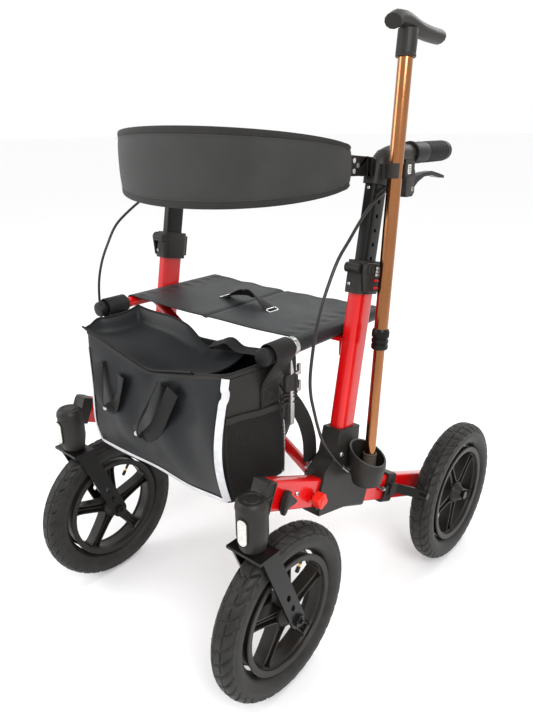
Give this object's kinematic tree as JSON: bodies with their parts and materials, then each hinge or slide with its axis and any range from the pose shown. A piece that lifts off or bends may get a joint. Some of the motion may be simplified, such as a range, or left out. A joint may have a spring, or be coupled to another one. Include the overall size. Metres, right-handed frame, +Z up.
{
  "type": "rollator walker",
  "caption": "All-terrain rollator walker with side-folding scissor frame, sling seat, backrest band, bag, hand brakes, swivelling front wheels and a cane in a cup.",
  "frame": {"origin": "on the floor, at the middle of the four wheels", "axes": "+Z up, -Y the way the walker is pushed (front casters at -Y), +X the side that carries the cane"},
  "size_m": [0.646, 0.822, 1.0587],
  "materials": {
    "red_paint": "gloss red powder coat on aluminium",
    "black_plastic": "moulded charcoal plastic, fine grain",
    "black_steel": "satin black coated steel",
    "grey_metal": "zinc plated steel",
    "tyre": "black rubber with moulded tread",
    "rim_plastic": "dark ribbed plastic",
    "grip_rubber": "soft ribbed rubber",
    "seat_cloth": "black woven nylon",
    "backrest_cloth": "dark grey neoprene-like cloth with stitched edge",
    "bag_cloth": "black nylon",
    "cable": "black cable sheath",
    "copper": "copper anodised tube",
    "ferrule": "taupe rubber",
    "orange_plastic": "red-orange moulded knob"
  },
  "bodies": {
    "right_frame": {"lower_rail_right": "red_paint", "upright_right": "red_paint", "node_shell_right": "black_plastic", "clamp_collar_right": "black_plastic", "brake_clamp_right": "black_plastic", "rear_axle_right": "black_steel", "caster_head_right": "black_plastic", "cane_cup": "black_plastic"},
    "left_frame": {"lower_rail_left": "red_paint", "upright_left": "red_paint", "node_shell_left": "black_plastic", "clamp_collar_left": "black_plastic", "brake_clamp_left": "black_plastic", "rear_axle_left": "black_steel", "caster_head_left": "black_plastic"},
    "brace_a": {"brace_a": "red_paint", "brace_centre_bolt": "grey_metal", "seat_grip_left": "black_plastic", "seat_fabric": "seat_cloth"},
    "brace_b": {"brace_b": "red_paint", "seat_grip_right": "black_plastic"},
    "bag_and_catch": {"folding_catch": "grey_metal", "bag": "bag_cloth"},
    "handle_right": {"handle_tube_right": "black_steel", "handle_neck_right": "black_plastic", "grip_right": "grip_rubber", "brake_housing_right": "black_plastic", "backrest_bracket_right": "black_steel", "brake_cable_right": "cable", "cane_clip": "black_plastic", "backrest": "backrest_cloth"},
    "brake_lever_right": {"brake_lever_right": "black_steel"},
    "brake_arm_right": {"brake_arm_right": "black_steel"},
    "clamp_lever_right": {"clamp_lever_right": "black_plastic"},
    "knob_right": {"knob_right": "orange_plastic"},
    "caster_right": {"fork_right": "black_steel"},
    "front_wheel_right": {"front_tyre_right": "tyre", "front_rim_right": "rim_plastic"},
    "rear_wheel_right": {"rear_tyre_right": "tyre", "rear_rim_right": "rim_plastic"},
    "handle_left": {"handle_tube_left": "black_steel", "handle_neck_left": "black_plastic", "grip_left": "grip_rubber", "brake_housing_left": "black_plastic", "backrest_bracket_left": "black_steel", "brake_cable_left": "cable"},
    "brake_lever_left": {"brake_lever_left": "black_steel"},
    "brake_arm_left": {"brake_arm_left": "black_steel"},
    "clamp_lever_left": {"clamp_lever_left": "black_plastic"},
    "knob_left": {"knob_left": "orange_plastic"},
    "caster_left": {"fork_left": "black_steel"},
    "front_wheel_left": {"front_tyre_left": "tyre", "front_rim_left": "rim_plastic"},
    "rear_wheel_left": {"rear_tyre_left": "tyre", "rear_rim_left": "rim_plastic"},
    "cane_foot": {"cane_ferrule": "ferrule"},
    "cane_lower": {"cane_lower_tube": "copper"},
    "cane_upper": {"cane_upper_tube": "copper", "cane_handle": "black_plastic", "cane_lock_nut": "black_steel"}
  },
  "joints": [
    {"name": "fold", "type": "hinge", "parent": "right_frame", "child": "brace_a", "pos_m": [0.204, -0.128, 0.335], "axis": [0, 1, 0], "range_deg": [0, 34], "deforming": ["seat_fabric", "bag", "backrest"]},
    {"name": "scissor", "type": "hinge", "parent": "brace_a", "child": "brace_b", "pos_m": [0, -0.114, 0.4625], "axis": [0, -1, 0], "range_deg": [0, 68]},
    {"name": "left_frame_hinge", "type": "hinge", "parent": "brace_b", "child": "left_frame", "pos_m": [-0.204, -0.1, 0.335], "axis": [0, 1, 0], "range_deg": [0, 34]},
    {"name": "bag_swing", "type": "hinge", "parent": "brace_b", "child": "bag_and_catch", "pos_m": [0.204, -0.19, 0.59], "axis": [0, 1, 0], "range_deg": [0, 34]},
    {"name": "handle_height_right", "type": "slide", "parent": "right_frame", "child": "handle_right", "axis": [0, 0.1857, 0.9826], "range_m": [-0.1, 0.05], "deforming": ["brake_cable_right"]},
    {"name": "brake_lever_right", "type": "hinge", "parent": "handle_right", "child": "brake_lever_right", "pos_m": [0.236, 0.07, 0.806], "axis": [1, 0, 0], "range_deg": [0, 8], "stiffness_Nm_per_rad": 0.8, "springref_deg": -11.46},
    {"name": "brake_shoe_right", "type": "slide", "parent": "right_frame", "child": "brake_arm_right", "axis": [0, 0.9184, -0.3955], "range_m": [0, 0.0035]},
    {"name": "clamp_right", "type": "hinge", "parent": "right_frame", "child": "clamp_lever_right", "pos_m": [0.256, -0.06799, 0.69548], "axis": [1, 0, 0], "range_deg": [0, 75]},
    {"name": "knob_turn_right", "type": "hinge", "parent": "right_frame", "child": "knob_right", "pos_m": [0.26, -0.18748, 0.33804], "axis": [1, 0, 0], "range_deg": [-180, 180]},
    {"name": "caster_swivel_right", "type": "hinge", "parent": "right_frame", "child": "caster_right", "pos_m": [0.24, -0.3245, 0.318], "axis": [0, 0, 1], "continuous": true},
    {"name": "front_wheel_spin_right", "type": "hinge", "parent": "caster_right", "child": "front_wheel_right", "pos_m": [0.24, -0.2585, 0.1525], "axis": [1, 0, 0], "continuous": true},
    {"name": "rear_wheel_spin_right", "type": "hinge", "parent": "right_frame", "child": "rear_wheel_right", "pos_m": [0.289, 0.2585, 0.1525], "axis": [1, 0, 0], "continuous": true},
    {"name": "handle_height_left", "type": "slide", "parent": "left_frame", "child": "handle_left", "axis": [0, 0.1857, 0.9826], "range_m": [-0.1, 0.05], "deforming": ["brake_cable_left"]},
    {"name": "brake_lever_left", "type": "hinge", "parent": "handle_left", "child": "brake_lever_left", "pos_m": [-0.236, 0.07, 0.806], "axis": [1, 0, 0], "range_deg": [0, 8], "stiffness_Nm_per_rad": 0.8, "springref_deg": -11.46},
    {"name": "brake_shoe_left", "type": "slide", "parent": "left_frame", "child": "brake_arm_left", "axis": [0, 0.9184, -0.3955], "range_m": [0, 0.0035]},
    {"name": "clamp_left", "type": "hinge", "parent": "left_frame", "child": "clamp_lever_left", "pos_m": [-0.256, -0.06799, 0.69548], "axis": [1, 0, 0], "range_deg": [0, 75]},
    {"name": "knob_turn_left", "type": "hinge", "parent": "left_frame", "child": "knob_left", "pos_m": [-0.26, -0.18748, 0.33804], "axis": [1, 0, 0], "range_deg": [-180, 180]},
    {"name": "caster_swivel_left", "type": "hinge", "parent": "left_frame", "child": "caster_left", "pos_m": [-0.24, -0.3245, 0.318], "axis": [0, 0, 1], "continuous": true},
    {"name": "front_wheel_spin_left", "type": "hinge", "parent": "caster_left", "child": "front_wheel_left", "pos_m": [-0.24, -0.2585, 0.1525], "axis": [1, 0, 0], "continuous": true},
    {"name": "rear_wheel_spin_left", "type": "hinge", "parent": "left_frame", "child": "rear_wheel_left", "pos_m": [-0.289, 0.2585, 0.1525], "axis": [1, 0, 0], "continuous": true},
    {"name": "cane_lift", "type": "slide", "parent": "right_frame", "child": "cane_foot", "axis": [-0.0314, 0.1229, 0.9919], "range_m": [0, 0.2]},
    {"name": "cane_lean", "type": "hinge", "parent": "cane_foot", "child": "cane_lower", "pos_m": [0.28271, -0.07693, 0.3686], "axis": [-0.8997, 0.4365, 0], "range_deg": [-0.95, 0.48]},
    {"name": "cane_length", "type": "slide", "parent": "cane_lower", "child": "cane_upper", "axis": [-0.0314, 0.1229, 0.9919], "range_m": [-0.12, 0.03]}
  ],
  "couplings": [
    {"joint": "scissor", "follows": "fold", "ratio": 2},
    {"joint": "left_frame_hinge", "follows": "fold", "ratio": 1},
    {"joint": "bag_swing", "follows": "fold", "ratio": 1},
    {"joint": "handle_height_left", "follows": "handle_height_right", "ratio": 1},
    {"joint": "cane_lean", "follows": "handle_height_right", "rad_per_m": 0.165},
    {"joint": "brake_shoe_right", "follows": "brake_lever_right", "m_per_rad": 0.025042},
    {"joint": "brake_shoe_left", "follows": "brake_lever_left", "m_per_rad": 0.025042}
  ]
}
